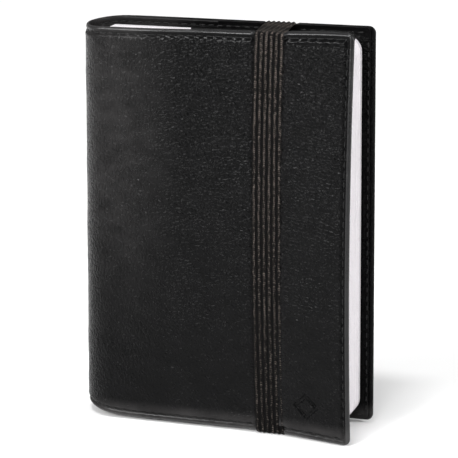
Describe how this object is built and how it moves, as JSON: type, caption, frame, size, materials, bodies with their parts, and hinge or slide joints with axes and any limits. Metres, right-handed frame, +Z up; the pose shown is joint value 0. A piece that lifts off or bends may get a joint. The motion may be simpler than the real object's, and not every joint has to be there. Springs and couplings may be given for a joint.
{
  "type": "pocket notebook",
  "caption": "Refillable pocket notebook with padded stitched leatherette covers, round spine, pocket flaps, turning page sections and an elastic closure band.",
  "frame": {"origin": "under the middle of the closed notebook, level with its lowest surface, the elastic's", "axes": "+X from the spine to the fore-edge, +Y from the front cover to the back cover, +Z up along the spine, standing on its bottom edge"},
  "size_m": [0.112, 0.028, 0.159],
  "materials": {
    "leatherette": "soft padded imitation leather, fine pebbled grain, satin",
    "lining": "black bonded lining",
    "board": "grey stiffener board",
    "thread": "black polyester thread",
    "elastic": "woven elastic with lengthwise ribs, matt warm black",
    "paper": "uncoated off-white leaves",
    "booklet_paper": "uncoated off-white leaves in a thin grey cover",
    "card": "plain card cover"
  },
  "bodies": {
    "back_cover": {"back_cover_skin": "leatherette", "back_cover_board": "board", "back_cover_lining": "lining", "back_pocket_flap": "lining", "back_cover_stitching": "thread", "refill_back_card": "card", "address_booklet": "booklet_paper"},
    "spine": {"spine_skin": "leatherette", "spine_lining": "lining", "spine_stitching": "thread"},
    "front_cover": {"front_cover_skin": "leatherette", "front_cover_board": "board", "front_cover_lining": "lining", "front_pocket_flap": "lining", "front_cover_stitching": "thread", "refill_front_card": "card"},
    "section_1": {"page_section_1": "paper"},
    "section_2": {"page_section_2": "paper"},
    "section_3": {"page_section_3": "paper"},
    "section_4": {"page_section_4": "paper"},
    "section_5": {"page_section_5": "paper"},
    "section_6": {"page_section_6": "paper"},
    "section_7": {"page_section_7": "paper"},
    "section_8": {"page_section_8": "paper"},
    "elastic": {"elastic_band": "elastic"}
  },
  "joints": [
    {"name": "spine_fold", "type": "hinge", "parent": "back_cover", "child": "spine", "pos_m": [-0.05262, 0.00962, 0.0795], "axis": [0, 0, -1], "range_deg": [0, 90]},
    {"name": "front_fold", "type": "hinge", "parent": "spine", "child": "front_cover", "pos_m": [-0.05262, -0.00962, 0.0795], "axis": [0, 0, -1], "range_deg": [0, 90]},
    {"name": "section_8_turn", "type": "hinge", "parent": "back_cover", "child": "section_8", "pos_m": [-0.0478, 0.00686, 0.0795], "axis": [0, 0, -1], "range_deg": [0, 19]},
    {"name": "section_7_turn", "type": "hinge", "parent": "section_8", "child": "section_7", "pos_m": [-0.0478, 0.00486, 0.0795], "axis": [0, 0, -1], "range_deg": [0, 19]},
    {"name": "section_6_turn", "type": "hinge", "parent": "section_7", "child": "section_6", "pos_m": [-0.0478, 0.00286, 0.0795], "axis": [0, 0, -1], "range_deg": [0, 19]},
    {"name": "section_5_turn", "type": "hinge", "parent": "section_6", "child": "section_5", "pos_m": [-0.0478, 0.00086, 0.0795], "axis": [0, 0, -1], "range_deg": [0, 19]},
    {"name": "section_4_turn", "type": "hinge", "parent": "section_5", "child": "section_4", "pos_m": [-0.0478, -0.00114, 0.0795], "axis": [0, 0, -1], "range_deg": [0, 19]},
    {"name": "section_3_turn", "type": "hinge", "parent": "section_4", "child": "section_3", "pos_m": [-0.0478, -0.00314, 0.0795], "axis": [0, 0, -1], "range_deg": [0, 19]},
    {"name": "section_2_turn", "type": "hinge", "parent": "section_3", "child": "section_2", "pos_m": [-0.0478, -0.00514, 0.0795], "axis": [0, 0, -1], "range_deg": [0, 19]},
    {"name": "section_1_turn", "type": "hinge", "parent": "section_2", "child": "section_1", "pos_m": [-0.0478, -0.00714, 0.0795], "axis": [0, 0, -1], "range_deg": [0, 19]},
    {"name": "elastic_release", "type": "slide", "parent": "back_cover", "child": "elastic", "axis": [0, 1, 0], "range_m": [0, 0.0272], "deforming": ["elastic_band"]}
  ],
  "couplings": [
    {"joint": "front_fold", "follows": "spine_fold", "ratio": 1},
    {"joint": "section_8_turn", "follows": "spine_fold", "ratio": 0.211},
    {"joint": "section_7_turn", "follows": "spine_fold", "ratio": 0.211},
    {"joint": "section_6_turn", "follows": "spine_fold", "ratio": 0.211},
    {"joint": "section_5_turn", "follows": "spine_fold", "ratio": 0.211},
    {"joint": "section_4_turn", "follows": "spine_fold", "ratio": 0.211},
    {"joint": "section_3_turn", "follows": "spine_fold", "ratio": 0.211},
    {"joint": "section_2_turn", "follows": "spine_fold", "ratio": 0.211},
    {"joint": "section_1_turn", "follows": "spine_fold", "ratio": 0.211},
    {"joint": "elastic_release", "follows": "spine_fold", "m_per_rad": 0.017252}
  ]
}
